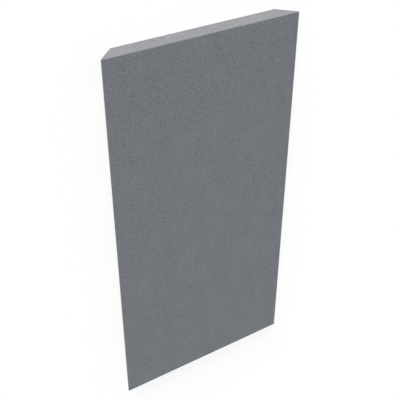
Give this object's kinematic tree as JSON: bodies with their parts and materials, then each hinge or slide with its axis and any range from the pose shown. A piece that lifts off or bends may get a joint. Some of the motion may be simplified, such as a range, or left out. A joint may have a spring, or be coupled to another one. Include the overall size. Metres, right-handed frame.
{
  "type": "corner bass trap",
  "caption": "Fabric-covered bass trap panel: a timber frame round a mineral wool slab, with both long sides bevelled at 45 degrees so that it sits across a room corner.",
  "frame": {"origin": "middle of the back cloth's outer surface, where the panel lies on its back", "axes": "+X across the face to the right as the face is seen with the head end up, +Y along the panel to the end that is on top in use, +Z out of the face"},
  "size_m": [0.6096, 1.2192, 0.0532],
  "materials": {
    "timber": "planed softwood, not painted",
    "mineral_wool": "rigid mineral wool board with cut edges",
    "grey_fabric": "woven polyester, heathered mid grey, matt",
    "black_cloth": "spun-bonded polypropylene, black, matt",
    "staple_wire": "bright zinc-plated wire"
  },
  "bodies": {
    "root": {"left_stile": "timber", "right_stile": "timber", "top_rail": "timber", "bottom_rail": "timber", "wool_slab": "mineral_wool", "face_fabric": "grey_fabric", "back_cloth": "black_cloth"}
  },
  "joints": []
}
